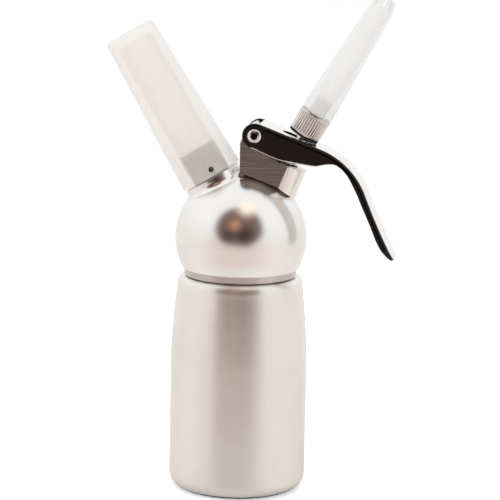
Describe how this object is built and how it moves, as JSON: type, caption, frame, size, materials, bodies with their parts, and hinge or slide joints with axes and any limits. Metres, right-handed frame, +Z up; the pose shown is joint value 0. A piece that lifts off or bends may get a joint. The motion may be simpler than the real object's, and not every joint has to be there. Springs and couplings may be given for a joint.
{
  "type": "whipped cream dispenser",
  "caption": "Ball-headed whipped cream dispenser with a metal bottle, leaning charger holder, squeeze lever and slanted star-slotted tip.",
  "frame": {"origin": "centre of the bottle's flat base, on the surface that it stands on", "axes": "+Z up along the bottle's axis, +X towards the nozzle and lever, -X towards the charger holder, -Y the side with the lever pin's recessed head"},
  "size_m": [0.1502, 0.0706, 0.258],
  "materials": {
    "satin_aluminium": "fine satin-brushed bare aluminium",
    "bright_steel": "bright turned stainless steel",
    "satin_collar": "knurled nickel-plated collar",
    "black_lever_finish": "glossy black-nickel finish on a stamped steel lever",
    "spring_steel": "plain spring steel",
    "plated_brass": "turned brass, bare",
    "frosted_plastic": "translucent frosted moulded plastic",
    "black_rubber": "matt black rubber",
    "grey_silicone": "matt grey silicone"
  },
  "bodies": {
    "bottle": {"bottle": "satin_aluminium"},
    "head": {"head": "satin_aluminium", "head_gasket": "grey_silicone", "charger_stud": "bright_steel", "piercing_pin": "bright_steel", "charger_gasket": "black_rubber", "check_valve_seal": "black_rubber", "check_valve_nut": "plated_brass", "stem_o_ring": "black_rubber", "guide_nut": "bright_steel", "valve_spring": "spring_steel", "lever_pin": "bright_steel", "lever_pin_clip": "spring_steel"},
    "charger_holder": {"charger_holder": "frosted_plastic"},
    "lever": {"lever": "black_lever_finish"},
    "valve": {"valve_stem": "bright_steel", "valve_seal": "black_rubber", "valve_seal_nut": "plated_brass", "press_washer": "bright_steel", "nozzle_adaptor": "satin_collar", "adaptor_ring": "black_rubber"},
    "tip": {"decorating_tip": "frosted_plastic"}
  },
  "joints": [
    {"name": "head_lift", "type": "slide", "parent": "bottle", "child": "head", "axis": [0, 0, 1], "range_m": [0, 0.04]},
    {"name": "holder_lift", "type": "slide", "parent": "head", "child": "charger_holder", "axis": [-0.5195, 0, 0.8545], "range_m": [0, 0.03]},
    {"name": "lever_squeeze", "type": "hinge", "parent": "head", "child": "lever", "pos_m": [0.0074, 0, 0.185], "axis": [0, 1, 0], "range_deg": [0, 10], "stiffness_Nm_per_rad": 0.19, "springref_deg": -29.79},
    {"name": "valve_press", "type": "slide", "parent": "head", "child": "valve", "axis": [-0.5, 0, -0.866], "range_m": [0, 0.0027], "deforming": ["valve_spring"]},
    {"name": "tip_lift", "type": "slide", "parent": "valve", "child": "tip", "axis": [0.5, 0, 0.866], "range_m": [0, 0.02]}
  ],
  "couplings": [
    {"joint": "valve_press", "follows": "lever_squeeze", "m_per_rad": 0.0153}
  ]
}
